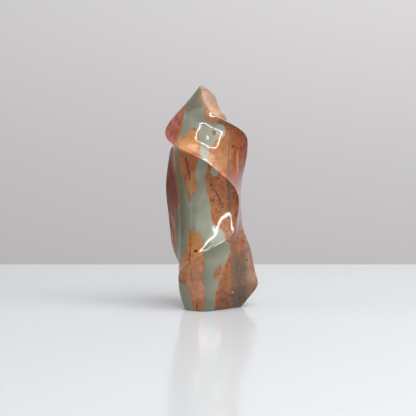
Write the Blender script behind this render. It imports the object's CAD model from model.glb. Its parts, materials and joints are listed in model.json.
"""A polished flame of banded jasper, dressed and photographed on a glossy white table.

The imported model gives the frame. The carved stone replaces the plain solid with a finer skin drawn
through the same guide lines, and its colours run through the stone as bands of x and height.
"""

import json
import logging
import math
from dataclasses import dataclass, field
from enum import Enum

import bpy
import numpy as np
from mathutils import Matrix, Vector

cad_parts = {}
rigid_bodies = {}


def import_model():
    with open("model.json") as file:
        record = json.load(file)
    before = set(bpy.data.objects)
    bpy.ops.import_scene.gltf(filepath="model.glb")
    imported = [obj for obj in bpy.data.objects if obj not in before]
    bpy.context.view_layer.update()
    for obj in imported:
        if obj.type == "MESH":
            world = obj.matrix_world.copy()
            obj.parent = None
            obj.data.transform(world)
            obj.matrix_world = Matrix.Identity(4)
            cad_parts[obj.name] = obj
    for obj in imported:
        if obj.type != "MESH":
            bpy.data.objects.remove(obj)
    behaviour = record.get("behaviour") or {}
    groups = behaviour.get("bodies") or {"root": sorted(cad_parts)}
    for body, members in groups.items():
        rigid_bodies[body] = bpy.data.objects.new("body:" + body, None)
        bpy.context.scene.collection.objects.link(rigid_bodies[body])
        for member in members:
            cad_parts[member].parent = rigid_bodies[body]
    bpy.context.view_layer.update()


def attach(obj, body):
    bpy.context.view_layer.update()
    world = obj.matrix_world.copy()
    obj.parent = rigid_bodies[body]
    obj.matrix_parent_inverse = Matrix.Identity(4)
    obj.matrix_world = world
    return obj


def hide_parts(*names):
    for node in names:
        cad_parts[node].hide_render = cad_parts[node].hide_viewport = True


log = logging.getLogger("jasper_flame")

MM = 0.001
BODY = "root"
CARVING_NODE = "flame_carving"

Point = tuple[float, float]
Place = tuple[float, float, float]
Colour = tuple[float, float, float, float]


def paint(red: int, green: int, blue: int) -> Colour:
    """A colour as mixed by eye on a screen, 0 to 255, as the linear colour that a shader takes.

    Args:
        red: red as seen on the screen.
        green: green as seen on the screen.
        blue: blue as seen on the screen.

    Returns:
        The linear colour with full alpha.
    """
    parts = []
    for value in (red, green, blue):
        share = value / 255.0
        parts.append(share / 12.92 if share <= 0.04045 else ((share + 0.055) / 1.055) ** 2.4)
    return (parts[0], parts[1], parts[2], 1.0)


class Edge(Enum):
    """How a guide line shows on the stone."""

    SHARP = "a crest all the way"
    FADING = "a crest that dies away at its ends"
    SOFT = "a rounded line or a hollow"


@dataclass(frozen=True)
class GuideLine:
    """One line from the foot to the tip that the skin runs through.

    points are (x, y, height) in mm. sharp and scoop are given as (height, value) at a few heights:
    how crisp the crest is, and how deep the face after it is hollowed as a share of its width.
    """

    name: str
    edge: Edge
    points: tuple[tuple[float, float, float], ...]
    columns: int
    sharp: tuple[Point, ...] = ((0.0, 0.0),)
    scoop: tuple[Point, ...] = ((0.0, 0.0),)


class Spline:
    """A natural cubic spline through knots."""

    def __init__(self, at: np.ndarray, values: np.ndarray) -> None:
        """Solves the bends of the spline.

        Args:
            at: where the knots stand, rising.
            values: the values there, one row for each knot.
        """
        self.at = np.asarray(at, float)
        self.values = np.asarray(values, float)
        count = len(self.at)
        gap = np.diff(self.at)
        pull = np.zeros_like(self.values)
        system = np.eye(count)
        for i in range(1, count - 1):
            system[i, i - 1 : i + 2] = gap[i - 1], 2 * (gap[i - 1] + gap[i]), gap[i]
            rise = (self.values[i + 1] - self.values[i]) / gap[i]
            pull[i] = 6 * (rise - (self.values[i] - self.values[i - 1]) / gap[i - 1])
        self.bends = np.linalg.solve(system, pull)

    def __call__(self, where: np.ndarray) -> np.ndarray:
        """The spline's values.

        Args:
            where: the places asked for.

        Returns:
            One row of values for each place.
        """
        where = np.atleast_1d(where)
        i = np.clip(np.searchsorted(self.at, where, side="right") - 1, 0, len(self.at) - 2)
        gap = self.at[i + 1] - self.at[i]
        after = ((where - self.at[i]) / gap)[:, None]
        before = 1 - after
        bend = (before**3 - before) * self.bends[i] + (after**3 - after) * self.bends[i + 1]
        straight = before * self.values[i] + after * self.values[i + 1]
        return straight + bend * (gap**2)[:, None] / 6


def eased(pairs: tuple[Point, ...], at: float) -> float:
    """A value between a few (height, value) pairs, eased at both ends of each stretch.

    Args:
        pairs: the heights and values, rising.
        at: the height asked for.

    Returns:
        The value at that height.
    """
    if at <= pairs[0][0]:
        return pairs[0][1]
    for (low, start), (high, end) in zip(pairs, pairs[1:]):
        if at <= high:
            share = (at - low) / (high - low)
            return start + (end - start) * share * share * (3 - 2 * share)
    return pairs[-1][1]


HEIGHT = 105.0
SPAN = 60.0
TIP = (-5.1, 0.5, HEIGHT)

LEFT_FIN = GuideLine(
    "left fin", Edge.SHARP,
    ((-7, 12, 0), (-10.5, 13.5, 7), (-13.5, 14, 13), (-16.4, 14, 19.8), (-18.9, 14, 26), (-20.3, 13.4, 35),
     (-21.4, 12.4, 46), (-22.2, 11.4, 57), (-21.3, 11, 66), (-20.2, 11.8, 73), (-14.5, 15.2, 78.5),
     (-6, 16.8, 81), (1.2, 16.2, 83.6), (5.8, 13.4, 86.4), (7.1, 10.4, 89.2), (4.9, 8.6, 92.3),
     (2.6, 6, 97.2), (0, 3.6, 101.6), TIP),
    columns=34, sharp=((0, 1),), scoop=((0, 0), (25, 0.02), (75, 0.02), (HEIGHT, 0)))
LEFT_HOLLOW = GuideLine(
    "left hollow", Edge.SOFT,
    ((-9.5, 9.8, 0), (-12.6, 10.3, 7), (-13.8, 9, 13), (-14.6, 6.4, 20), (-14.6, 4.2, 27), (-14.4, 3, 36),
     (-14.4, 2.6, 46), (-15, 2.4, 55), (-16.2, 2.6, 63), (-17.4, 3.4, 70), (-16.4, 6.6, 76),
     (-12.4, 10, 81), (-7.4, 9.4, 86), (-3.6, 6.3, 92), (-2.8, 3.2, 98.5), TIP),
    columns=28)
LEFT_EDGE = GuideLine(
    "left edge", Edge.FADING,
    ((-11.4, 4, 0), (-14, 3.6, 6), (-15.2, 2, 13), (-15.5, -4, 18.5), (-15, -7, 23.5), (-14.7, -7.5, 30),
     (-14.6, -7.6, 38), (-14.8, -7.6, 47), (-15.3, -7.7, 53.5), (-16.2, -8, 61), (-16.9, -7.8, 67.5),
     (-17.6, -5.2, 73), (-17.9, -1, 77.5), (-16, 2.6, 81.5), (-12.6, 4, 86), (-8.6, 3, 92),
     (-7, 1.9, 98.5), TIP),
    columns=28, sharp=((14, 0), (26, 1), (66, 1), (76, 0)))
FRONT_SPINE = GuideLine(
    "front spine", Edge.SOFT,
    ((-12.6, 0, 0), (-15, 0, 6.5), (-15.6, -1.2, 13), (-14.8, -7.2, 19), (-12, -11.6, 25), (-9.8, -13, 33),
     (-9.5, -12.6, 42), (-9.6, -12.4, 50), (-10.2, -12.6, 60), (-12.2, -12.4, 68), (-16, -9, 74),
     (-18.6, -4.2, 78.5), (-18.6, -0.2, 83), (-15.6, 1.4, 87.5), (-11, 1.2, 93), (-8.2, 0.9, 98.5), TIP),
    columns=44, scoop=((20, 0), (35, 0.03), (65, 0.03), (80, 0)))
FRONT_LIP = GuideLine(
    "front lip", Edge.FADING,
    ((-12.2, -8.4, 0), (-13.8, -6.6, 4), (-15.1, -5.6, 9.4), (-15.6, -6, 14.5), (-14.9, -9, 18.4),
     (-11.1, -13, 22.5), (-3.2, -15.5, 28), (3, -14.6, 31.4), (7.9, -12.6, 34.4), (11.6, -9.7, 41.5),
     (12.7, -8.5, 49.5), (11.5, -11, 56), (7.8, -14, 61), (2.5, -16.5, 65.6), (-3.8, -17.4, 70.5),
     (-10.3, -15.5, 73.8), (-17, -10.6, 76.9), (-20.6, -4.5, 79.6), (-21.6, -0.5, 84.2), (-18.7, 0, 89.1),
     (-12.4, 0.2, 96), TIP),
    columns=38, sharp=((12, 0), (27, 1)))
FOOT_SPINE = GuideLine(
    "foot spine", Edge.SOFT,
    ((-6, -12.6, 0), (-6.8, -12.8, 6), (-6.4, -12.8, 14), (-3, -13.8, 21), (2, -12.1, 26), (8, -6.9, 31),
     (11.6, -2.6, 36), (12.9, 0.4, 44), (12.8, 0.2, 52), (12.2, -3, 60), (9.2, -7.4, 68), (4, -10.6, 76),
     (-2.2, -10.4, 83), (-5.8, -7.2, 91), (-6.4, -3.6, 98.5), TIP),
    columns=38)
RIGHT_SHOULDER = GuideLine(
    "right shoulder", Edge.SHARP,
    ((14.4, -1.1, 0), (18.5, -1.2, 5), (21.3, -1.25, 8.4), (22.2, -0.8, 11), (21.3, 1, 15.5),
     (20, 3.4, 21.5), (18.4, 6.2, 28.5), (15.6, 8.6, 35.5), (14.3, 9.9, 44), (14, 10, 52), (15, 8.3, 62),
     (16.6, 4.6, 70), (17.1, 0.9, 77), (15.2, -4.4, 82.6), (10.7, -8.3, 85.9), (6.6, -9.6, 88),
     (2, -9.1, 90.4), (-1.8, -7, 94), (-4, -4, 99), TIP),
    columns=42, sharp=((0, 1),), scoop=((0, 0), (25, 0.04), (70, 0.04), (90, 0)))
BACK_SPINE = GuideLine(
    "back spine", Edge.SOFT,
    ((5, 11.5, 0), (6.5, 14.2, 9), (6, 15.4, 20), (2.5, 15.8, 30), (-1, 15.4, 40), (-2.5, 15, 50),
     (-3, 15, 60), (-0.5, 15, 69), (5, 13.4, 75), (9.2, 9.6, 80), (9, 5, 84), (5.6, 2, 88.2),
     (1.2, 1.2, 92.5), (-1.5, 0.8, 98), TIP),
    columns=42, scoop=((0, 0), (25, 0.04), (70, 0.04), (90, 0)))


@dataclass(frozen=True)
class Pit:
    """A small natural hole in the polished face, placed in mm as the front is seen."""

    x: float
    z: float
    half_width: float
    half_height: float
    depth: float


@dataclass(frozen=True)
class Swell:
    """A gentle hollow ground into the front, or a swelling where its depth is less than 0, in mm."""

    name: str
    x: float
    z: float
    half_width: float
    half_height: float
    depth: float
    lean: float = 0.0


@dataclass
class CarvedFlame:
    """The stone itself: a skin drawn through eight guide lines, closed with a flat foot."""

    guides: tuple[GuideLine, ...] = (
        LEFT_FIN, LEFT_HOLLOW, LEFT_EDGE, FRONT_SPINE, FRONT_LIP, FOOT_SPINE, RIGHT_SHOULDER, BACK_SPINE)
    centre: Point = (0.03, 0.3)
    rows: int = 288
    foot_rows: int = 4
    crowding: float = 0.1
    least_step: float = 1e-6
    undercut_normal: Place = (0.523, -0.734, -0.432)
    undercut_reach: float = 8.35
    undercut_crispness: int = 30
    middle: Point = (4.0, -0.8)
    foot_round: float = 0.5
    foot_guard: float = 0.75
    foot_inset: float = 1.2
    seam: float = 0.0001
    crest_angle: float = 16.0
    crest_rings: int = 2
    crest_rounds: int = 8
    crest_factor: float = 0.5
    front_fade: float = 3.0
    smooth_angle: float = 40.0
    pits: tuple[Pit, ...] = (
        Pit(9.8, 8.6, 0.9, 0.7, 0.3),
        Pit(7.6, 6.8, 1.5, 0.55, 0.25),
        Pit(5.4, 4.9, 1.3, 0.6, 0.25),
        Pit(10.3, 76.3, 0.55, 0.7, 0.15),
    )
    swells: tuple[Swell, ...] = (
        Swell("brow over the pale hollow", 3, 92, 16, 8, -2.0, -15),
        Swell("floor of the pale hollow", 5, 72, 8, 6.5, -0.85),
        Swell("upper left of the pale hollow", -6, 86, 6, 6, 0.15),
        Swell("left of the pale hollow", -7, 81, 6, 6, -0.25),
        Swell("right of the pale hollow", 6, 82, 5, 6, -0.1),
        Swell("head of the lower hollow", 4.2, 44, 5, 12, 0.35),
        Swell("orange side of the lower hollow", -7, 30, 5, 6, 0.3),
        Swell("left wall of the lower hollow", 0, 40, 3, 6, -0.12),
        Swell("cheek beside it", -4, 47, 8, 10, -0.3),
        Swell("left of the lower hollow", -6, 36, 6, 10, -0.4),
        Swell("right of the lower hollow", 9, 41, 4, 8, -0.2),
        Swell("front of the foot", 1, 28, 6, 4, -0.5),
    )
    lines: list[Spline] = field(default_factory=list)

    def lay_out(self) -> None:
        """Turns each guide line into a spline of height."""
        for guide in self.guides:
            knots = np.array(guide.points, float)
            self.lines.append(Spline(knots[:, 2], knots[:, :2]))

    def closed_curve(self, knots: np.ndarray, corners: list[int]) -> list[tuple[int, Spline, np.ndarray]]:
        """The level curve through knots, broken into runs at its corners.

        Args:
            knots: the points it passes, in order, the first of which is a corner.
            corners: the numbers of the knots where it turns sharply.

        Returns:
            For each run the number of its last knot, its spline and the distances of all knots.
        """
        ring = np.vstack([knots, knots[:1]])
        steps = np.maximum(np.linalg.norm(np.diff(ring, axis=0), axis=1), self.least_step)
        along = np.concatenate([[0.0], np.cumsum(steps)])
        ends = corners[1:] + [len(knots)]
        return [(end, Spline(along[start : end + 1], ring[start : end + 1]), along)
                for start, end in zip(corners, ends)]

    def on_curve(self, runs: list, knot: np.ndarray, share: np.ndarray) -> np.ndarray:
        """Points on a level curve.

        Args:
            runs: the curve, as closed_curve gives it.
            knot: for each point, the knot before it.
            share: how far it lies towards the next knot, 0 to 1.

        Returns:
            The points, one row each.
        """
        along = runs[0][2]
        where = along[knot] + (along[knot + 1] - along[knot]) * share
        points = np.zeros((len(knot), 2))
        start = 0
        for end, spline, _ in runs:
            inside = (knot >= start) & (knot < end)
            points[inside] = spline(where[inside])
            start = end
        return points

    def column_places(self) -> tuple[np.ndarray, np.ndarray]:
        """Where the columns stand round the stone, closer together beside the guide lines.

        Returns:
            For each column the knot before it and how far it lies towards the next knot.
        """
        knots = []
        shares = []
        for number, guide in enumerate(self.guides):
            even = np.arange(guide.columns) / guide.columns
            across = 2 * (even - self.crowding * np.sin(2 * math.pi * even))
            knots.append(2 * number + np.floor(across).astype(int))
            shares.append(across % 1.0)
        return np.concatenate(knots), np.concatenate(shares)

    def outline(self, z: float) -> np.ndarray:
        """The level outline at one height, counter-clockwise from above.

        Args:
            z: the height in mm.

        Returns:
            The outline's points in mm, one row each.
        """
        places = np.array([line(np.array([z]))[0] for line in self.lines])
        always = [i for i, guide in enumerate(self.guides) if guide.edge is Edge.SHARP]
        partly = [i for i, guide in enumerate(self.guides) if guide.edge is Edge.FADING]
        count = len(places)
        bare = self.closed_curve(places, sorted(always + partly))
        middles = self.on_curve(bare, np.arange(count), np.full(count, 0.5))
        across = np.roll(places, -1, axis=0) - places
        scoop = np.array([eased(guide.scoop, z) for guide in self.guides])[:, None]
        middles = middles + np.stack([-across[:, 1], across[:, 0]], 1) * scoop
        knots = np.stack([places, middles], 1).reshape(-1, 2)
        knot, share = self.column_places()
        points = np.zeros((len(knot), 2))
        for choice in range(2 ** len(partly)):
            chosen = [g for bit, g in enumerate(partly) if choice >> bit & 1]
            weight = 1.0
            for g in partly:
                crisp = eased(self.guides[g].sharp, z)
                weight *= crisp if g in chosen else 1 - crisp
            if weight > 0:
                runs = self.closed_curve(knots, [2 * g for g in sorted(always + chosen)])
                points += weight * self.on_curve(runs, knot, share)
        return self.round_foot(self.undercut(points, z), z)

    def undercut(self, points: np.ndarray, z: float) -> np.ndarray:
        """Draws an outline in to the flat that is ground under the right-hand corner.

        Args:
            points: the outline at height z.
            z: the height in mm.

        Returns:
            The outline inside the flat, with a slightly rounded edge.
        """
        nx, ny, nz = self.undercut_normal
        middle = np.array(self.middle)
        room = self.undercut_reach - nx * middle[0] - ny * middle[1] - nz * z
        reach = points - middle
        excess = np.maximum(reach @ np.array([nx, ny]), 0) / room
        share = (1 + excess**self.undercut_crispness) ** (-1 / self.undercut_crispness)
        return middle + reach * share[:, None]

    def round_foot(self, points: np.ndarray, z: float) -> np.ndarray:
        """Eases the edge of the foot where it meets the table.

        Args:
            points: the outline at height z.
            z: the height in mm.

        Returns:
            The outline, drawn in a little just above the foot.
        """
        if z >= self.foot_round:
            return points
        inset = self.foot_round - math.sqrt(self.foot_round**2 - (self.foot_round - z) ** 2)
        middle = np.array(self.middle)
        reach = points - middle
        length = np.linalg.norm(reach, axis=1, keepdims=True)
        return middle + reach * (1 - inset / length)

    def row_heights(self) -> np.ndarray:
        """Heights of the rows of the skin, close together at the rounded foot.

        Returns:
            The heights in mm, from the foot to the tip.
        """
        turns = np.linspace(0, math.pi / 2, self.foot_rows + 1)[:-1]
        foot = self.foot_round * (1 - np.cos(turns))
        rest = np.linspace(self.foot_round, HEIGHT, self.rows - len(foot) + 1)
        return np.concatenate([foot, rest])

    def build_skin(self) -> bpy.types.Object:
        """Wraps a fine grid round the stone and closes it.

        Returns:
            The finished mesh object, at the origin.
        """
        self.lay_out()
        columns = sum(guide.columns for guide in self.guides)
        heights = self.row_heights()
        bpy.ops.object.select_all(action="DESELECT")
        bpy.ops.mesh.primitive_grid_add(
            x_subdivisions=columns, y_subdivisions=len(heights) - 1, size=HEIGHT * MM, location=(0, 0, 0))
        stone = bpy.context.object
        stone.name = "jasper_flame"
        flat = np.empty(len(stone.data.vertices) * 3)
        stone.data.vertices.foreach_get("co", flat)
        flat = flat.reshape(-1, 3) / (HEIGHT * MM) + 0.5
        column = np.rint(flat[:, 0] * columns).astype(int) % columns
        row = np.rint(flat[:, 1] * (len(heights) - 1)).astype(int)
        rings = np.array([self.outline(z) for z in heights[:-1]] + [np.tile(TIP[:2], (columns, 1))])
        places = np.column_stack([rings[row, column], heights[row]])
        places[:, :2] += self.centre
        stone.data.vertices.foreach_set("co", (places * MM).ravel())
        stone.data.update()
        self.close(stone)
        return stone

    def close(self, stone: bpy.types.Object) -> None:
        """Joins the seam and the tip, and fills the flat foot.

        Args:
            stone: the wrapped grid.
        """
        bpy.context.view_layer.objects.active = stone
        bpy.ops.object.mode_set(mode="EDIT")
        bpy.ops.mesh.select_mode(type="VERT")
        bpy.ops.mesh.select_all(action="SELECT")
        bpy.ops.mesh.remove_doubles(threshold=self.seam * MM)
        bpy.ops.mesh.select_all(action="DESELECT")
        bpy.ops.mesh.select_non_manifold(
            extend=False, use_wire=False, use_boundary=True, use_multi_face=False,
            use_non_contiguous=False, use_verts=False)
        bpy.ops.mesh.edge_face_add()
        bpy.ops.mesh.inset(thickness=self.foot_inset * MM, use_boundary=True)
        bpy.ops.mesh.poke()
        bpy.ops.mesh.select_all(action="SELECT")
        bpy.ops.mesh.normals_make_consistent(inside=False)
        bpy.ops.mesh.select_all(action="DESELECT")
        bpy.ops.object.mode_set(mode="OBJECT")

    def round_crests(self, stone: bpy.types.Object) -> None:
        """Takes the knife edge off the crests, as polishing does.

        Args:
            stone: the closed skin.
        """
        bpy.ops.object.mode_set(mode="EDIT")
        bpy.ops.mesh.select_mode(type="EDGE")
        bpy.ops.mesh.select_all(action="DESELECT")
        bpy.ops.mesh.edges_select_sharp(sharpness=math.radians(self.crest_angle))
        bpy.ops.object.mode_set(mode="OBJECT")
        near_foot = self.read(stone, "co")[:, 2] < self.foot_guard * MM
        chosen = np.empty(len(stone.data.vertices), bool)
        stone.data.vertices.foreach_get("select", chosen)
        for kind in (stone.data.edges, stone.data.polygons):
            kind.foreach_set("select", np.zeros(len(kind), bool))
        stone.data.vertices.foreach_set("select", chosen & ~near_foot)
        bpy.ops.object.mode_set(mode="EDIT")
        bpy.ops.mesh.select_mode(type="VERT")
        for _ in range(self.crest_rings):
            bpy.ops.mesh.select_more()
        bpy.ops.mesh.vertices_smooth(factor=self.crest_factor, repeat=self.crest_rounds)
        bpy.ops.mesh.select_all(action="DESELECT")
        bpy.ops.object.mode_set(mode="OBJECT")

    def read(self, stone: bpy.types.Object, what: str) -> np.ndarray:
        """Reads one vector for each vertex of the stone.

        Args:
            stone: the stone.
            what: the name of the vector, co or normal.

        Returns:
            One row for each vertex.
        """
        rows = np.empty(len(stone.data.vertices) * 3)
        stone.data.vertices.foreach_get(what, rows)
        return rows.reshape(-1, 3)

    def grind_swells(self, stone: bpy.types.Object) -> None:
        """Grinds the gentle hollows and swellings into the front.

        Args:
            stone: the closed skin.
        """
        places = self.read(stone, "co")
        front = np.clip(-self.front_fade * self.read(stone, "normal")[:, 1], 0, 1)
        for swell in self.swells:
            turn = math.radians(swell.lean)
            along = places[:, 0] / MM - swell.x
            up = places[:, 2] / MM - swell.z
            wide = (along * math.cos(turn) + up * math.sin(turn)) / swell.half_width
            tall = (up * math.cos(turn) - along * math.sin(turn)) / swell.half_height
            share = np.clip(1 - wide**2 - tall**2, 0, 1) ** 2
            places[:, 1] += swell.depth * MM * share * front
        stone.data.vertices.foreach_set("co", places.ravel())
        stone.data.update()

    def sink_pits(self, stone: bpy.types.Object) -> None:
        """Sinks the small holes that show in the polished front.

        Args:
            stone: the closed skin.
        """
        places = self.read(stone, "co")
        outward = self.read(stone, "normal")
        front = outward[:, 1] < 0
        for pit in self.pits:
            away = ((places[:, 0] / MM - pit.x) / pit.half_width) ** 2
            away += ((places[:, 2] / MM - pit.z) / pit.half_height) ** 2
            sunk = pit.depth * MM * np.clip(1 - away, 0, 1) * front
            places -= outward * sunk[:, None]
        stone.data.vertices.foreach_set("co", places.ravel())
        stone.data.update()

    def build(self) -> bpy.types.Object:
        """Carves and polishes the stone.

        Returns:
            The finished object, smooth apart from the edge of the foot.
        """
        stone = self.build_skin()
        self.round_crests(stone)
        self.grind_swells(stone)
        self.sink_pits(stone)
        bpy.ops.object.select_all(action="DESELECT")
        stone.select_set(True)
        bpy.context.view_layer.objects.active = stone
        bpy.ops.object.shade_smooth_by_angle(angle=math.radians(self.smooth_angle))
        return stone


Output = bpy.types.NodeSocket
Value = Output | float | Colour
WHITE = paint(255, 255, 255)


@dataclass(frozen=True)
class Cloud:
    """A cloudy pattern: the size of its clouds in mm, its finer layers, their strength and its stretch."""

    size: float
    layers: float
    strength: float = 0.5
    stretch: Place = (1, 1, 1)


@dataclass(frozen=True)
class Band:
    """A coloured band through the stone, with its left and right edges as (height, x) in mm."""

    name: str
    left: tuple[Point, ...]
    right: tuple[Point, ...]


class Sheet:
    """A short way to lay out the nodes of one material."""

    def __init__(self, name: str) -> None:
        """Starts a material with an empty node sheet.

        Args:
            name: the material's name.
        """
        self.material = bpy.data.materials.new(name)
        self.material.use_nodes = True
        self.tree = self.material.node_tree
        self.tree.nodes.clear()

    def put(self, socket: Output, value: Value) -> None:
        """Links another node's output to a socket, or sets the socket's own value.

        Args:
            socket: the input that is filled.
            value: an output, a number or a colour.
        """
        if isinstance(value, bpy.types.NodeSocket):
            self.tree.links.new(value, socket)
        else:
            socket.default_value = value

    def finish(self, shader: bpy.types.Node) -> None:
        """Gives a shader to the material's surface."""
        output = self.tree.nodes.new("ShaderNodeOutputMaterial")
        self.put(output.inputs["Surface"], shader.outputs[0])

    def math(self, work: str, a: Value, b: Value = 0.0) -> Output:
        """One sum on two numbers.

        Args:
            work: the operation, such as POWER.
            a: the first number or output.
            b: the second number or output.

        Returns:
            The result's output.
        """
        node = self.tree.nodes.new("ShaderNodeMath")
        node.operation = work
        self.put(node.inputs[0], a)
        self.put(node.inputs[1], b)
        return node.outputs[0]

    def plus(self, a: Value, b: Value) -> Output:
        """Adds two numbers."""
        return self.math("ADD", a, b)

    def minus(self, a: Value, b: Value) -> Output:
        """Takes the second number from the first."""
        return self.math("SUBTRACT", a, b)

    def times(self, a: Value, b: Value) -> Output:
        """Multiplies two numbers."""
        return self.math("MULTIPLY", a, b)

    def join(self, depths: list[Output], work: str) -> Output:
        """The largest or smallest of several depths.

        Args:
            depths: the outputs.
            work: MAXIMUM for places in any of them, MINIMUM for places in all.

        Returns:
            The joined output.
        """
        joined = depths[0]
        for depth in depths[1:]:
            joined = self.math(work, joined, depth)
        return joined

    def ramp(self, value: Value, low: float, high: float) -> Output:
        """A smooth step: 0 below low and 1 above high, or the other way round if low is the higher.

        Args:
            value: the number that is stepped.
            low: where the result is 0.
            high: where the result is 1.

        Returns:
            The result's output.
        """
        node = self.tree.nodes.new("ShaderNodeMapRange")
        node.interpolation_type = "SMOOTHSTEP"
        self.put(node.inputs["Value"], value)
        ends = (low, high, 0.0, 1.0) if low < high else (high, low, 1.0, 0.0)
        for socket, end in zip(("From Min", "From Max", "To Min", "To Max"), ends):
            node.inputs[socket].default_value = end
        return node.outputs["Result"]

    def curve(self, z: Value, points: tuple[Point, ...], label: str) -> Output:
        """A line drawn by hand from height to x, both in mm.

        Args:
            z: the height's output.
            points: (height, x) along the line.
            label: what the line is.

        Returns:
            The output that holds x.
        """
        node = self.tree.nodes.new("ShaderNodeFloatCurve")
        node.label = label
        node.mapping.extend = "HORIZONTAL"
        drawn = node.mapping.curves[0]
        ordered = sorted(points)
        while len(drawn.points) < len(ordered):
            drawn.points.new(0.5, 0.5)
        for point, (height, x) in zip(drawn.points, ordered):
            point.location = (height / HEIGHT, x / SPAN + 0.5)
        node.mapping.update()
        self.put(node.inputs["Value"], self.math("DIVIDE", z, HEIGHT))
        return self.times(self.minus(node.outputs[0], 0.5), SPAN)

    def band(self, x: Output, z: Output, band: Band) -> Output:
        """How far inside a band a place lies, in mm, less than 0 outside it.

        Args:
            x: the place's x.
            z: the place's height.
            band: the band.

        Returns:
            The output that holds the depth inside the band.
        """
        depths = [
            self.minus(x, self.curve(z, band.left, band.name)),
            self.minus(self.curve(z, band.right, band.name), x),
        ]
        low = max(min(band.left)[0], min(band.right)[0])
        high = min(max(band.left)[0], max(band.right)[0])
        if low > 0:
            depths.append(self.minus(z, low))
        if high < HEIGHT:
            depths.append(self.minus(high, z))
        return self.join(depths, "MINIMUM")

    def noise(self, place: Output, cloud: Cloud) -> bpy.types.Node:
        """A cloudy pattern in the stone.

        Args:
            place: the place in mm.
            cloud: the pattern's sizes.

        Returns:
            The noise node.
        """
        node = self.tree.nodes.new("ShaderNodeTexNoise")
        node.inputs["Scale"].default_value = 1.0
        node.inputs["Detail"].default_value = cloud.layers
        node.inputs["Roughness"].default_value = cloud.strength
        scale = self.tree.nodes.new("ShaderNodeMapping")
        scale.inputs["Scale"].default_value = [1 / (cloud.size * reach) for reach in cloud.stretch]
        self.put(scale.inputs["Vector"], place)
        self.put(node.inputs["Vector"], scale.outputs[0])
        return node

    def blend(self, share: Value, under: Value, over: Value, way: str = "MIX", label: str = "") -> Output:
        """Lays one colour over another.

        Args:
            share: how much of the upper one shows.
            under: the lower colour.
            over: the upper colour.
            way: how they are mixed, such as MIX or MULTIPLY.
            label: what is laid on.

        Returns:
            The mixed colour's output.
        """
        # a mix node's colours are its inputs 6 and 7, and its output 2
        node = self.tree.nodes.new("ShaderNodeMix")
        node.data_type = "RGBA"
        node.blend_type = way
        node.label = label
        self.put(node.inputs[0], share)
        self.put(node.inputs[6], under)
        self.put(node.inputs[7], over)
        return node.outputs[2]


GREEN_BANDS = (
    Band("thin stripe at the left",
         ((48, -14.8), (55, -15.2), (60, -15.7), (65, -16.3), (70, -16.6), (78, -16.2),
          (82, -15.6), (84, -15)),
         ((48, -8), (50, -9.5), (53, -10.7), (56, -11.5), (60, -12.7), (65, -14.2), (70, -15.1),
          (75, -15.1), (80, -15.3), (82, -15.6), (84, -16))),
    Band("middle",
         ((0, -18), (30, -17), (44, -17), (47, -15.5), (49.5, -11.5), (51, -9.6), (53, -8.8), (55, -8),
          (57, -6.8), (59.5, -6.4), (61.5, -7), (63.5, -7.6), (66, -7.2), (69, -6.6), (72, -5.2),
          (78, -4.6), (80, -3)),
         ((0, 1.2), (4, 1.4), (7, 1.6), (9, 2), (11, 2.8), (14.5, 3.2), (16, 4), (19.5, 5.2), (23, 6.8),
          (25, 7.6), (28, 8.4), (31, 8.2), (33, 6.6), (37, 5.8), (39, 3.4), (41, 0.8), (43, 0), (46, -0.5),
          (49, -0.4), (51, -1.2), (54, -1.8), (57, -2.4), (60, -2.8), (63, -3.2), (65, -2.4), (67, -1.8),
          (69, -2), (72, -1.4), (76, -1.2), (80, -3))),
    Band("top",
         ((74, -3), (77, -14.8), (78.5, -15.2), (81, -14.6), (84, -14.1), (87, -13.5), (90, -13),
          (93, -12.6), (96.5, -12), (100, -10), (105, -8)),
         ((74, -3), (76, -1.2), (77, 0), (78.5, 1.6), (80, 4), (81, 5.5), (82.5, 6.3), (84.5, 6.1),
          (86.2, 5), (86.9, 2.5), (87.6, -0.6), (88.6, -2.4), (91, -3.2), (93.5, -3.4), (96, -4.1),
          (97.5, -4.8), (100, -5.2), (103, -5.4), (105, -4.5))),
    Band("patch under the lip",
         ((62.8, 1.6), (63.4, 0.4), (65, -0.2), (66.4, 0), (67.4, 1.2)),
         ((62.8, 1.6), (63.4, 2.6), (65, 3), (66.4, 2.4), (67.4, 1.2))),
    Band("rim of the top",
         ((95, 4), (96.5, 2.4), (98, 1.4), (99.5, 0.5), (101, -0.6), (102.2, -1.6), (102.9, -3),
          (103.3, -4.8), (105, -6)),
         ((95, 4), (96.5, 4), (98, 8), (105, 8))),
)
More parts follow.
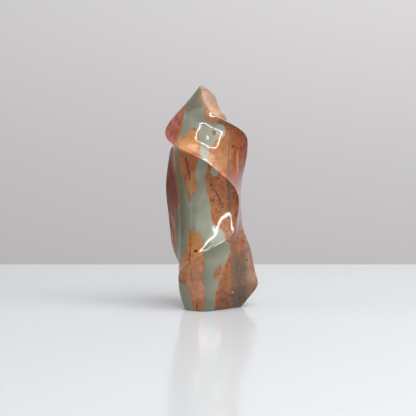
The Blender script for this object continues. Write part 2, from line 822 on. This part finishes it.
WARM_ISLANDS = (
    Band("orange at the top left",
         ((73, -8), (75, -15.4), (77, -15.1), (79, -14.5), (81.5, -13), (83, -11.2), (84.3, -9.4),
          (85, -7.8)),
         ((73, -8), (75, -5.2), (78, -5.6), (80.5, -5.7), (82.5, -6.1), (84, -6.9), (85, -7.8))),
    Band("spot in the pale ring",
         ((81.2, 1), (82, 0.2), (83.3, 0), (84.2, 0.9)),
         ((81.2, 1), (82, 1.9), (83.3, 1.9), (84.2, 0.9))),
    Band("corner in the pale ring",
         ((75.5, 2), (76.5, 0.4), (78, 1), (79.3, 2), (80.3, 3.2), (81.5, 3.6), (83.5, 3.4)),
         ((75.5, 2), (76.5, 5), (79, 5), (80.4, 4.4), (81.5, 4), (83.5, 3.4))),
    Band("orange at the lower left",
         ((-1, -8.4), (0, -8.6), (3, -9.2), (6, -9.8), (9, -10.5), (11.6, -11.4), (12.6, -13),
          (13.4, -15.6),
          (15, -16.5), (21, -15.6), (24, -13.8), (27, -12.6), (30, -11.4), (34, -10.2), (36, -9.4),
          (37.2, -8.7), (37.9, -7.6)),
         ((-1, -3.6), (2, -3.4), (5, -3.2), (10, -3.2), (13, -3.9), (16, -4.6), (18, -4.4), (20, -3.8),
          (22, -3.4), (26, -3.4), (29, -3.6), (32, -4), (35, -4.8), (37, -6.1), (37.9, -7.6))),
    Band("narrow lobe at the lower left",
         ((31, -11.1), (35, -10.8), (38, -10.5), (39.6, -10.1)),
         ((31, -9.2), (35, -9.5), (38, -9.6), (39.6, -10.1))),
    Band("small island",
         ((15.2, 2.2), (16.2, 1.1), (18, 0.8), (20, 1.6), (21.4, 3), (22.3, 4.2)),
         ((15.2, 2.2), (16.4, 3.2), (18, 4.1), (20, 4.8), (21.4, 4.9), (22.3, 4.2))),
)


@dataclass(frozen=True)
class Stain:
    """A soft-edged patch of one colour over the bands, as an upright oval in mm."""

    name: str
    x: float
    z: float
    half_width: float
    half_height: float
    colour: Colour
    strength: float
    soft: float = 0.35


STAINS = (
    Stain("brown under the lip", -11, 70, 6.5, 7.5, paint(178, 108, 62), 0.95),
    Stain("orange lobe", -8.6, 59, 3, 6, paint(194, 138, 88), 0.85),
    Stain("brown middle", 2.5, 55.5, 7, 11, paint(178, 116, 76), 0.95),
    Stain("bright spot in the middle", 4.6, 61, 2, 3.4, paint(208, 130, 82), 0.75),
    Stain("dark red beside the middle", 11.2, 53, 3, 8, paint(152, 94, 66), 0.85),
    Stain("reddish middle", 1.6, 48.5, 4, 4, paint(168, 118, 78), 0.85),
    Stain("red above the second ring", 3.4, 43.4, 4.6, 2, paint(176, 112, 72), 0.8),
    Stain("bright orange", 3.6, 73.5, 5.4, 8, paint(182, 128, 86), 1.0),
    Stain("orange at the ring", 6.2, 79, 2.4, 8, paint(170, 114, 70), 0.9),
    Stain("orange top left", -11, 79, 6, 5.5, paint(212, 152, 102), 1.0),
    Stain("orange lower left", -6.6, 31, 5.2, 9, paint(204, 140, 84), 1.0),
    Stain("brown lower left", -13, 21, 3.4, 7, paint(204, 144, 96), 0.9),
    Stain("orange by the second ring", 6.6, 37.5, 4, 5.5, paint(184, 134, 98), 0.9),
    Stain("dusty orange foot", -7.4, 13, 4.6, 12, paint(212, 150, 114), 0.95),
    Stain("darker foot", -6.4, 1, 4.6, 5, paint(180, 128, 86), 0.8),
    Stain("peach facet", 0.5, 97, 7, 6.5, paint(180, 144, 124), 1.0),
    Stain("orange under the facet", 0, 90, 3.4, 4.4, paint(206, 146, 106), 0.95),
    Stain("red beside the foot", 4.4, 2, 3.6, 4.6, paint(136, 88, 60), 0.8),
    Stain("purple foot", 13, 4, 4.4, 5, paint(138, 114, 98), 0.8),
    Stain("orange of the island", 2.8, 18.6, 3.4, 4.6, paint(166, 122, 86), 0.95),
)
GREEN_STAINS = (
    Stain("dark peak", -9, 98, 5, 7, paint(118, 112, 92), 0.85),
    Stain("pale hollow", -1.5, 80.5, 6, 7, paint(154, 153, 136), 0.95),
    Stain("pale edge of the hollow", 5, 84, 4, 3, paint(170, 170, 158), 0.8),
    Stain("pale lower hollow", 3.4, 35.5, 5, 6, paint(162, 165, 149), 0.9),
    Stain("lighter middle", -3.4, 41, 4, 6, paint(138, 138, 121), 0.7),
    Stain("dark under the lower hollow", 3, 29, 6, 3.4, paint(116, 114, 92), 0.6),
    Stain("dark foot", -2, 2.5, 4, 4.4, paint(116, 117, 99), 0.8),
    Stain("light brow", -6, 89, 5, 5, paint(150, 148, 131), 0.8),
    Stain("light patch", 1.6, 65, 2.6, 3, paint(160, 152, 128), 0.8),
    Stain("lower middle", 0, 18, 7, 12, paint(130, 129, 113), 0.7),
    Stain("light corner", -12.6, 8, 3, 5, paint(142, 140, 121), 0.6),
)
DARK_SPOTS = (
    Stain("dark pit", -7.3, 28.7, 0.9, 0.7, paint(66, 22, 14), 1.0),
    Stain("upper brown spot", -10.2, 26.5, 0.5, 0.7, paint(140, 62, 24), 0.85),
    Stain("lower brown spot", -10.6, 24.5, 0.6, 0.6, paint(146, 68, 28), 0.8),
    Stain("green spot on the shoulder", 10.2, 76.3, 0.9, 0.8, paint(74, 58, 36), 0.9),
    Stain("spot in the middle", 0.6, 51.7, 0.6, 0.6, paint(104, 52, 34), 0.8),
    Stain("spot above the middle", -0.2, 59, 0.5, 0.6, paint(92, 44, 30), 0.8),
    Stain("spot at the lower right", 16.8, 22.5, 0.6, 0.5, paint(72, 52, 44), 0.8),
    Stain("orange fleck at the lower right", 13, 28, 1, 1.4, paint(160, 96, 56), 0.5),
    Stain("pale fleck at the foot", 9.8, 8.5, 0.5, 0.5, paint(176, 168, 158), 0.6),
)


@dataclass(frozen=True)
class Vein:
    """A narrow streak that follows a hand-drawn line from height to x."""

    name: str
    line: tuple[Point, ...]
    half_width: float
    low: float
    high: float
    colour: Colour
    strength: float


VEINS = (
    Vein("grey vein",
         ((0, 12), (8, 11.6), (14, 10.6), (22, 10.1), (30, 9.4), (40, 9.6), (50, 7.9), (60, 7.6),
          (66, 7.9), (72, 7.8), (78, 8.4), (82, 8.9), (88, 8.6)),
         0.6, 0, 90, paint(108, 86, 72), 0.8),
    Vein("smear of the grey vein", ((46, 8), (55, 8), (64, 7.8)), 1.2, 46, 65, paint(106, 74, 56), 0.6),
    Vein("orange rim of the pink",
         ((74, -16.6), (80, -15.9), (84, -15), (88, -14.1), (92, -13.4), (97, -12.4)),
         0.55, 77, 98, paint(176, 96, 52), 0.9),
    Vein("red streak under the lip", ((60, -10.3), (64, -10.4), (67, -10.8), (71, -11.8)),
         0.4, 61, 72, paint(96, 40, 16), 0.9),
    Vein("red streak at the lower left", ((22, -10.4), (27, -10.1), (32, -9.9), (38, -9.9)),
         0.35, 22, 38.5, paint(180, 88, 32), 0.9),
    Vein("red line at the lower left", ((12, -8.7), (16, -9.4), (20, -9.7)),
         0.22, 12.5, 20, paint(184, 98, 48), 0.9),
    Vein("dark red at the foot", ((0, -6.9), (2, -6.9), (4.4, -7.1)),
         0.45, 0, 4.6, paint(140, 62, 24), 0.9),
    Vein("pale line in the middle", ((36, -9.5), (46, -9.5), (57, -9.7)), 0.35, 38, 57,
         paint(168, 160, 140), 0.55),
    Vein("dark slanting vein", ((49, 4.9), (52, 3.9), (54.5, 2.6), (57.5, 0.6), (60.5, -1.2)),
         0.4, 49.5, 60.5, paint(92, 50, 40), 0.8),
    Vein("yellow vein", ((63, 12.3), (68, 12.2), (74, 12.1)), 0.3, 63.5, 73.5, paint(196, 150, 92), 0.5),
    Vein("red line at the lower right", ((23, 13.6), (27, 14), (32, 14.3)), 0.45, 23, 32.5,
         paint(140, 48, 28), 0.55),
)


@dataclass(frozen=True)
class Region:
    """A part of the stone with soft sides, each given as where it begins and where it is full, in mm."""

    across: Point
    up: Point


LOWER_RIGHT = Region((8, 11), (34, 22))
FAR_RIGHT = Region((14, 19), (36, 28))
UPPER_RIGHT = Region((8.2, 9.6), (54, 64))
RIGHT_EDGE = Region((11.5, 13.8), (38, 46))
STREAKED_RIGHT = Region((9, 11), (20, 34))
REDDENED_MIDDLE = Region((-3, 0), (68, 62))
RIGHT_OF_MIDDLE = Region((-3, 1), (-40, -30))
DARK_LEFT = Region((-9.5, -14.5), (24, 40))


@dataclass(frozen=True)
class Mottle:
    """Flecks of one colour in a part of the stone, where a cloudy pattern runs between two values."""

    name: str
    cloud: Cloud
    spread: Point
    region: Region
    colour: Colour
    strength: float


DARK_RED = paint(112, 50, 30)
STREAKS = Cloud(1.0, 3.0, 0.65, (1, 1, 7))
FLECKS = Cloud(1.5, 4.0, 0.7)
SPOTS = Cloud(1.1, 2.0, 0.6)
MOTTLES = (
    Mottle("dark streaks at the right", STREAKS, (0.47, 0.6), STREAKED_RIGHT, paint(104, 36, 20), 0.75),
    Mottle("red flecks in the middle", FLECKS, (0.48, 0.62), REDDENED_MIDDLE, DARK_RED, 0.5),
    Mottle("tan flecks at the lower right", FLECKS, (0.46, 0.6), LOWER_RIGHT, paint(138, 110, 84), 0.45),
    Mottle("grey flecks at the lower right", FLECKS, (0.46, 0.36), LOWER_RIGHT, paint(84, 70, 60), 0.6),
    Mottle("dark spots", SPOTS, (0.6, 0.67), RIGHT_OF_MIDDLE, DARK_RED, 0.6),
)


@dataclass(frozen=True)
class Tint:
    """A faint darkening that comes and goes with a cloudy pattern."""

    cloud: Cloud
    spread: Point
    shade: Colour


TINTS = (
    Tint(Cloud(4.0, 4.0, 0.6), (0.35, 0.65), paint(236, 226, 220)),
    Tint(Cloud(0.55, 3.0, 0.6), (0.3, 0.7), paint(234, 228, 222)),
)
PINK_EDGE = (
    (0, -19), (30, -16.4), (40, -15.2), (50, -15), (55, -15.4), (60, -15.9), (65, -16.4), (70, -16.8),
    (76, -16.6), (80, -15.9), (85, -14.8), (90, -13.9), (96, -12.6), (105, -12))


@dataclass(frozen=True)
class Spot:
    """Where a colour is worked out: the place in mm, and the x and height bent as the bands are."""

    sheet: Sheet
    place: Output
    x: Output
    z: Output

    def within(self, region: Region) -> Output:
        """How far inside a part of the stone the spot is, 0 to 1."""
        across = self.sheet.ramp(self.x, *region.across)
        return self.sheet.times(across, self.sheet.ramp(self.z, *region.up))

    def cloud(self, cloud: Cloud) -> Output:
        """The value of a cloudy pattern at the spot."""
        return self.sheet.noise(self.place, cloud).outputs["Fac"]

    def stain(self, under: Output, stain: Stain) -> Output:
        """Lays one stain over a colour.

        Args:
            under: the colour so far.
            stain: the patch to lay on.

        Returns:
            The new colour.
        """
        sheet = self.sheet
        up = sheet.minus(self.z, stain.z)
        along = sheet.minus(self.x, stain.x)
        wide = sheet.math("POWER", sheet.math("DIVIDE", along, stain.half_width), 2.0)
        tall = sheet.math("POWER", sheet.math("DIVIDE", up, stain.half_height), 2.0)
        inside = sheet.ramp(sheet.plus(wide, tall), 1 + stain.soft, 1 - stain.soft)
        return sheet.blend(sheet.times(inside, stain.strength), under, stain.colour, label=stain.name)


@dataclass(frozen=True)
class JasperFinish:
    """Polished jasper: green bands edged with orange in warm stone, with veins, spots and streaks.

    Each pair of numbers is where a soft change begins and where it is full: in mm for a place, and on the
    pattern's own scale of 0 to 1 for a spread.
    """

    green: Colour = paint(132, 133, 114)
    pale_green: Colour = paint(146, 147, 131)
    dark_green: Colour = paint(110, 101, 73)
    warm: Colour = paint(156, 106, 70)
    rim: Colour = paint(172, 108, 56)
    pink: Colour = paint(194, 118, 104)
    pale_pink: Colour = paint(184, 134, 114)
    maroon: Colour = paint(136, 82, 58)
    pale_maroon: Colour = paint(186, 154, 142)
    streak_red: Colour = paint(128, 44, 30)
    shoulder: Colour = paint(160, 90, 44)
    shoulder_dark: Colour = paint(148, 84, 62)
    brown_grey: Colour = paint(94, 83, 72)
    peach: Colour = paint(154, 122, 104)
    ripple: Cloud = Cloud(2.6, 3.0)
    ripple_reach: float = 1.5
    sway: Cloud = Cloud(16.0, 1.0)
    sway_reach: float = 26.0
    behind_from: Point = (3, 14)
    behind_side: Point = (-17, -9)
    pink_from: Point = (74, 80)
    pink_pales: Point = (86, 93)
    pink_edge_softness: float = 0.3
    maroon_pales: Point = (58, 28)
    streak_spread: Point = (0.42, 0.64)
    streak_strength: float = 0.62
    rim_reach: Point = (-0.9, -0.1)
    rim_strength: float = 0.55
    band_softness: float = 0.12
    green_clouds: Cloud = Cloud(6.0, 3.0)
    green_cloud_spread: Point = (0.35, 0.68)
    green_shades: Cloud = Cloud(2.6, 4.0, 0.65, (1, 1, 1.8))
    green_shade_spread: Point = (0.55, 0.72)
    green_shade_strength: float = 0.3
    dark_left_ends: Point = (80, 74)
    dark_left_strength: float = 0.9
    vein_gaps: Cloud = Cloud(1.6, 3.0, 0.6)
    vein_gap_spread: Point = (0.25, 0.6)
    vein_sides: Point = (0.25, -0.15)
    vein_tip: Point = (0.5, 0.8)
    hand_polish: Cloud = Cloud(1.2, 3.0)
    polish: float = 0.04
    polish_spread: float = 0.06
    pit_spread: Point = (0.5, 0.62)
    pit_roughness: float = 0.35
    pit_depth: float = 0.25
    rough_left: Point = (3.5, 6)
    rough_right: Point = (12, 9.5)
    rough_top: Point = (11, 8.5)
    haze: float = 0.25
    haze_roughness: float = 0.25
    refraction: float = 1.5

    def make(self) -> bpy.types.Material:
        """Builds the material.

        Returns:
            The finished material.
        """
        sheet = Sheet("polished_jasper")
        coordinates = sheet.tree.nodes.new("ShaderNodeTexCoord")
        scale = sheet.tree.nodes.new("ShaderNodeVectorMath")
        scale.operation = "SCALE"
        scale.inputs["Scale"].default_value = 1 / MM
        sheet.put(scale.inputs[0], coordinates.outputs["Object"])
        spot = self.bent(sheet, scale.outputs[0])
        colour = self.green_stone(spot, self.warm_stone(spot))
        self.shade(spot, self.veined(spot, colour))
        return sheet.material

    def bent(self, sheet: Sheet, place: Output) -> Spot:
        """Bends the bands a little everywhere, and far more behind, where the photo does not show them.

        Args:
            sheet: the material's sheet.
            place: the place in mm.

        Returns:
            The spot, with the x and height that the bands are drawn in.
        """
        parts = sheet.tree.nodes.new("ShaderNodeSeparateXYZ")
        sheet.put(parts.inputs[0], place)
        x, y, z = parts.outputs
        behind = sheet.times(sheet.ramp(y, *self.behind_from), sheet.ramp(x, *self.behind_side))
        bends = ((self.ripple, self.ripple_reach, 1.0), (self.sway, self.sway_reach, behind))
        for cloud, reach, share in bends:
            channels = sheet.tree.nodes.new("ShaderNodeSeparateColor")
            sheet.put(channels.inputs[0], sheet.noise(place, cloud).outputs["Color"])
            x = sheet.plus(x, sheet.times(sheet.times(sheet.minus(channels.outputs[0], 0.5), reach), share))
            z = sheet.plus(z, sheet.times(sheet.times(sheet.minus(channels.outputs[2], 0.5), reach), share))
        return Spot(sheet, place, x, z)

    def warm_stone(self, spot: Spot) -> Output:
        """The orange, brown, pink and maroon stone that the green lies in.

        Args:
            spot: where the colour is worked out.

        Returns:
            The colour's output.
        """
        sheet = spot.sheet
        colour = self.warm
        for stain in STAINS:
            colour = spot.stain(colour, stain)
        colour = sheet.blend(spot.within(LOWER_RIGHT), colour, self.brown_grey)
        colour = sheet.blend(spot.within(FAR_RIGHT), colour, self.peach)
        colour = sheet.blend(spot.within(UPPER_RIGHT), colour, self.shoulder)
        colour = sheet.blend(spot.within(RIGHT_EDGE), colour, self.shoulder_dark)
        patterns = {cloud: spot.cloud(cloud) for cloud in (STREAKS, FLECKS, SPOTS)}
        colour = self.left_stone(spot, patterns[STREAKS], colour)
        for mottle in MOTTLES:
            flecks = sheet.ramp(patterns[mottle.cloud], *mottle.spread)
            share = sheet.times(sheet.times(spot.within(mottle.region), flecks), mottle.strength)
            colour = sheet.blend(share, colour, mottle.colour, label=mottle.name)
        for tint in TINTS:
            shade = sheet.blend(sheet.ramp(spot.cloud(tint.cloud), *tint.spread), tint.shade, WHITE)
            colour = sheet.blend(1.0, colour, shade, "MULTIPLY")
        return colour

    def left_stone(self, spot: Spot, streaks: Output, under: Output) -> Output:
        """The streaked pink at the upper left, and the maroon below it.

        Args:
            spot: where the colour is worked out.
            streaks: the upright streaks.
            under: the colour so far.

        Returns:
            The new colour.
        """
        sheet = spot.sheet
        edge = sheet.curve(spot.z, PINK_EDGE, "edge of the pink")
        left = sheet.ramp(sheet.minus(edge, spot.x), -self.pink_edge_softness, self.pink_edge_softness)
        pink = sheet.blend(sheet.ramp(spot.z, *self.pink_pales), self.pink, self.pale_pink)
        maroon = sheet.blend(sheet.ramp(spot.z, *self.maroon_pales), self.maroon, self.pale_maroon)
        colour = sheet.blend(left, under, sheet.blend(sheet.ramp(spot.z, *self.pink_from), maroon, pink))
        drawn = sheet.times(sheet.ramp(streaks, *self.streak_spread), left)
        return sheet.blend(sheet.times(drawn, self.streak_strength), colour, self.streak_red)

    def green_stone(self, spot: Spot, under: Output) -> Output:
        """Lays the green bands with their orange rims over the warm stone.

        Args:
            spot: where the colour is worked out.
            under: the warm stone's colour.

        Returns:
            The new colour.
        """
        sheet = spot.sheet
        green = sheet.join([sheet.band(spot.x, spot.z, band) for band in GREEN_BANDS], "MAXIMUM")
        islands = sheet.join([sheet.band(spot.x, spot.z, band) for band in WARM_ISLANDS], "MAXIMUM")
        depth = sheet.math("MINIMUM", green, sheet.times(islands, -1.0))
        rim = sheet.times(sheet.ramp(depth, *self.rim_reach), self.rim_strength)
        colour = sheet.blend(rim, under, self.rim)
        clouds = sheet.ramp(spot.cloud(self.green_clouds), *self.green_cloud_spread)
        stone = sheet.blend(clouds, self.green, self.pale_green)
        left = sheet.times(spot.within(DARK_LEFT), sheet.ramp(spot.z, *self.dark_left_ends))
        stone = sheet.blend(sheet.times(left, self.dark_left_strength), stone, self.dark_green)
        for stain in GREEN_STAINS:
            stone = spot.stain(stone, stain)
        dark = sheet.ramp(spot.cloud(self.green_shades), *self.green_shade_spread)
        stone = sheet.blend(sheet.times(dark, self.green_shade_strength), stone, self.dark_green)
        return sheet.blend(sheet.ramp(depth, -self.band_softness, self.band_softness), colour, stone)

    def veined(self, spot: Spot, colour: Output) -> Output:
        """Draws the veins and the small spots over all.

        Args:
            spot: where the colour is worked out.
            colour: the colour so far.

        Returns:
            The new colour.
        """
        sheet = spot.sheet
        out, full = self.vein_tip
        width = sheet.ramp(spot.cloud(self.vein_gaps), *self.vein_gap_spread)
        for vein in VEINS:
            away = sheet.math("ABSOLUTE", sheet.minus(spot.x, sheet.curve(spot.z, vein.line, vein.name)))
            inside = sheet.ramp(sheet.minus(away, sheet.times(width, vein.half_width)), *self.vein_sides)
            ends = sheet.times(sheet.ramp(spot.z, vein.low - out, vein.low + full),
                               sheet.ramp(spot.z, vein.high + out, vein.high - full))
            share = sheet.times(sheet.times(inside, ends), vein.strength)
            colour = sheet.blend(share, colour, vein.colour, label=vein.name)
        for small in DARK_SPOTS:
            colour = spot.stain(colour, small)
        return colour

    def shade(self, spot: Spot, colour: Output) -> None:
        """Joins the colour to a glossy shader with the faint unevenness of hand polishing.

        Args:
            spot: where the colour is worked out.
            colour: the finished colour.
        """
        sheet = spot.sheet
        shader = sheet.tree.nodes.new("ShaderNodeBsdfPrincipled")
        shader.inputs["IOR"].default_value = self.refraction
        shader.inputs["Coat Weight"].default_value = self.haze
        shader.inputs["Coat Roughness"].default_value = self.haze_roughness
        sheet.put(shader.inputs["Base Color"], colour)
        uneven = spot.cloud(self.hand_polish)
        rough = sheet.plus(self.polish, sheet.times(uneven, self.polish_spread))
        pitted = sheet.times(sheet.ramp(uneven, *self.pit_spread), self.rough_patch(spot))
        rough = sheet.plus(rough, sheet.times(pitted, self.pit_roughness))
        sheet.put(shader.inputs["Roughness"], rough)
        bump = sheet.tree.nodes.new("ShaderNodeBump")
        bump.inputs["Strength"].default_value = 1.0
        bump.inputs["Distance"].default_value = MM
        sheet.put(bump.inputs["Height"], sheet.times(sheet.times(uneven, pitted), self.pit_depth))
        sheet.put(shader.inputs["Normal"], bump.outputs[0])
        sheet.finish(shader)

    def rough_patch(self, spot: Spot) -> Output:
        """Where the polish has not reached the small pits at the lower right.

        Args:
            spot: where the colour is worked out.

        Returns:
            The output that is 1 there and 0 elsewhere.
        """
        sheet = spot.sheet
        across = sheet.times(sheet.ramp(spot.x, *self.rough_left), sheet.ramp(spot.x, *self.rough_right))
        return sheet.times(across, sheet.ramp(spot.z, *self.rough_top))


@dataclass(frozen=True)
class StagePaint:
    """A plain finish for the table and the backdrop."""

    name: str
    colour: Colour
    roughness: float
    refraction: float = 1.5

    def make(self) -> bpy.types.Material:
        """Builds the material.

        Returns:
            The finished material.
        """
        sheet = Sheet(self.name)
        shader = sheet.tree.nodes.new("ShaderNodeBsdfPrincipled")
        shader.inputs["Base Color"].default_value = self.colour
        shader.inputs["Roughness"].default_value = self.roughness
        shader.inputs["IOR"].default_value = self.refraction
        sheet.finish(shader)
        return sheet.material


@dataclass(frozen=True)
class Glow:
    """The light that a strip of the light box gives off."""

    name: str
    strength: float
    colour: Colour = paint(255, 252, 248)

    def make(self) -> bpy.types.Material:
        """Builds the material.

        Returns:
            The finished material.
        """
        sheet = Sheet(self.name)
        shader = sheet.tree.nodes.new("ShaderNodeEmission")
        shader.inputs["Color"].default_value = self.colour
        shader.inputs["Strength"].default_value = self.strength
        sheet.finish(shader)
        return sheet.material


@dataclass(frozen=True)
class Lamp:
    """A soft rectangular light that points at the stone and does not show in its polish, in metres."""

    name: str
    place: Place
    width: float
    height: float
    power: float

    def hang(self, target: Place) -> None:
        """Adds the light.

        Args:
            target: the point that it faces.
        """
        data = bpy.data.lights.new(self.name, "AREA")
        data.shape = "RECTANGLE"
        data.size = self.width
        data.size_y = self.height
        data.energy = self.power
        lamp = bpy.data.objects.new(self.name, data)
        bpy.context.scene.collection.objects.link(lamp)
        lamp.location = self.place
        lamp.rotation_euler = (Vector(target) - Vector(self.place)).to_track_quat("-Z", "Y").to_euler()
        lamp.visible_glossy = False


@dataclass(frozen=True)
class GlowStrip:
    """A lit strip or panel of the light box, which shows only as a gleam in the polish, in metres."""

    name: str
    middle: Place
    width: float
    height: float
    rim: float
    corner: float
    facing: float
    glow: float
    tilt: float = 0.0
    least_corner: float = 0.001
    corner_steps: int = 6

    def outline(self, shrink: float) -> list[Point]:
        """The corners of a rounded rectangle.

        Args:
            shrink: how far it lies inside the strip's outer edge.

        Returns:
            The points, in order.
        """
        points = []
        half_width = self.width / 2 - shrink
        half_height = self.height / 2 - shrink
        corner = max(self.corner - shrink, self.least_corner)
        for quarter in range(4):
            turn = math.pi / 2 * quarter
            across = (half_width - corner) * (1 if quarter in (0, 3) else -1)
            up = (half_height - corner) * (1 if quarter in (0, 1) else -1)
            for step in range(self.corner_steps + 1):
                angle = turn + math.pi / 2 * step / self.corner_steps
                points.append((across + corner * math.cos(angle), up + corner * math.sin(angle)))
        return points

    def build(self, shown_on: bpy.types.Collection) -> None:
        """Adds the strip to the stage.

        Args:
            shown_on: what it gleams on.
        """
        outer = self.outline(0.0)
        count = len(outer)
        if self.rim:
            points = outer + self.outline(self.rim)
            faces = [(k, (k + 1) % count, count + (k + 1) % count, count + k) for k in range(count)]
        else:
            points = outer
            faces = [tuple(range(count))]
        mesh = bpy.data.meshes.new(self.name)
        mesh.from_pydata([(x, 0.0, z) for x, z in points], [], faces)
        strip = bpy.data.objects.new(self.name, mesh)
        bpy.context.scene.collection.objects.link(strip)
        strip.location = self.middle
        strip.rotation_euler = (math.radians(self.tilt), 0, math.radians(self.facing))
        mesh.materials.append(Glow(self.name, self.glow).make())
        strip.visible_camera = False
        strip.visible_diffuse = False
        strip.visible_shadow = False
        strip.light_linking.receiver_collection = shown_on


@dataclass
class Studio:
    """The white table, the grey backdrop, the lights and the camera, in metres."""

    table_edge: float = 0.137
    table_half: float = 0.9
    table_front: float = -0.9
    table_paint: StagePaint = StagePaint("table_white", paint(207, 211, 214), 0.15)
    wall: float = 0.45
    wall_width: float = 5.0
    wall_height: float = 4.0
    wall_middle: float = 0.8
    wall_paint: StagePaint = StagePaint("backdrop_grey", paint(214, 211, 211), 0.9)
    air: float = 0.30
    air_colour: Colour = (0.96, 0.97, 1.0, 1)
    lamp_target: Place = (0, 0, 0.05)
    camera_place: Place = (-0.00169, -0.4605, 0.08859)
    camera_dip: float = 5.14
    lens: float = 84.72
    film: float = 36.0
    lamps: tuple[Lamp, ...] = (
        Lamp("overhead", (0.25, -0.25, 0.8), 0.6, 0.6, 7.0),
        Lamp("right", (0.7, -0.25, 0.4), 0.4, 0.4, 2.6),
        Lamp("left", (-0.7, -0.1, 0.35), 0.4, 0.4, 1.3),
    )
    glows: tuple[GlowStrip, ...] = (
        GlowStrip("box_rim", (0.02, -0.62, 0.41), 1.03, 0.61, 0.066, 0.22, 0, 21),
        GlowStrip("box_lamp", (0.013, -0.62, 0.302), 0.04, 0.012, 0, 0.005, 0, 30),
        GlowStrip("ceiling", (0.4, -0.2, 1.0), 1.2, 0.6, 0, 0.1, 0, 3.0, 90),
        GlowStrip("high_back_light", (1.0, 0.2, 0.8), 1.3, 0.28, 0, 0.05, 0, 9, 90),
        GlowStrip("right_panel", (0.62, 0.05, 0.3), 0.5, 0.5, 0, 0.05, 90, 0.4),
        GlowStrip("left_panel", (-0.62, 0.05, 0.25), 0.5, 0.4, 0, 0.05, 90, 0.4),
    )

    def sheet(self, name: str, width: float, depth: float, middle: Place, upright: bool,
              finish: StagePaint) -> bpy.types.Object:
        """Adds one flat sheet of the stage.

        Args:
            name: its name.
            width: its size along x.
            depth: its size along y, or its height if it stands upright.
            middle: where its middle is.
            upright: whether it stands like a wall.
            finish: its paint.

        Returns:
            The sheet.
        """
        bpy.ops.object.select_all(action="DESELECT")
        bpy.ops.mesh.primitive_plane_add(size=1, location=middle)
        plane = bpy.context.object
        plane.name = name
        plane.scale = (width, depth, 1)
        if upright:
            plane.rotation_euler = (math.radians(90), 0, 0)
        bpy.ops.object.transform_apply(location=True, rotation=True, scale=True)
        plane.data.materials.append(finish.make())
        return plane

    def build(self, stone: bpy.types.Object) -> None:
        """Sets out the table, the backdrop, the lights and the air.

        Args:
            stone: the stone that the strips gleam on.
        """
        depth = self.table_edge - self.table_front
        middle = (0, self.table_front + depth / 2, 0)
        table = self.sheet("white_table", 2 * self.table_half, depth, middle, False, self.table_paint)
        table.visible_glossy = False
        middle = (0, self.wall, self.wall_middle)
        self.sheet("backdrop", self.wall_width, self.wall_height, middle, True, self.wall_paint)
        for lamp in self.lamps:
            lamp.hang(self.lamp_target)
        polished = bpy.data.collections.new("polished")
        polished.objects.link(stone)
        for glow in self.glows:
            glow.build(polished)
        world = bpy.data.worlds.new("studio_air")
        bpy.context.scene.world = world
        world.use_nodes = True
        background = world.node_tree.nodes["Background"]
        background.inputs["Color"].default_value = self.air_colour
        background.inputs["Strength"].default_value = self.air
        bpy.context.scene.view_settings.view_transform = "Standard"

    def place_camera(self) -> None:
        """Puts the camera where the photo was taken from."""
        data = bpy.data.cameras.new("camera")
        data.lens = self.lens
        data.sensor_width = self.film
        camera = bpy.data.objects.new("camera", data)
        camera.location = self.camera_place
        camera.rotation_euler = (math.radians(90 - self.camera_dip), 0, 0)
        bpy.context.scene.collection.objects.link(camera)
        bpy.context.scene.camera = camera


def main() -> None:
    """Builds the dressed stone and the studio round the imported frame."""
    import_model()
    stone = CarvedFlame().build()
    stone.data.materials.append(JasperFinish().make())
    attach(stone, BODY)
    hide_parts(CARVING_NODE)
    log.info("%s: %d faces", stone.name, len(stone.data.polygons))
    studio = Studio()
    studio.build(stone)
    studio.place_camera()
    log.info("studio: %d lamps", len(studio.lamps))


if __name__ == "__main__":
    logging.basicConfig(level=logging.INFO, format="%(name)s: %(message)s")
    main()
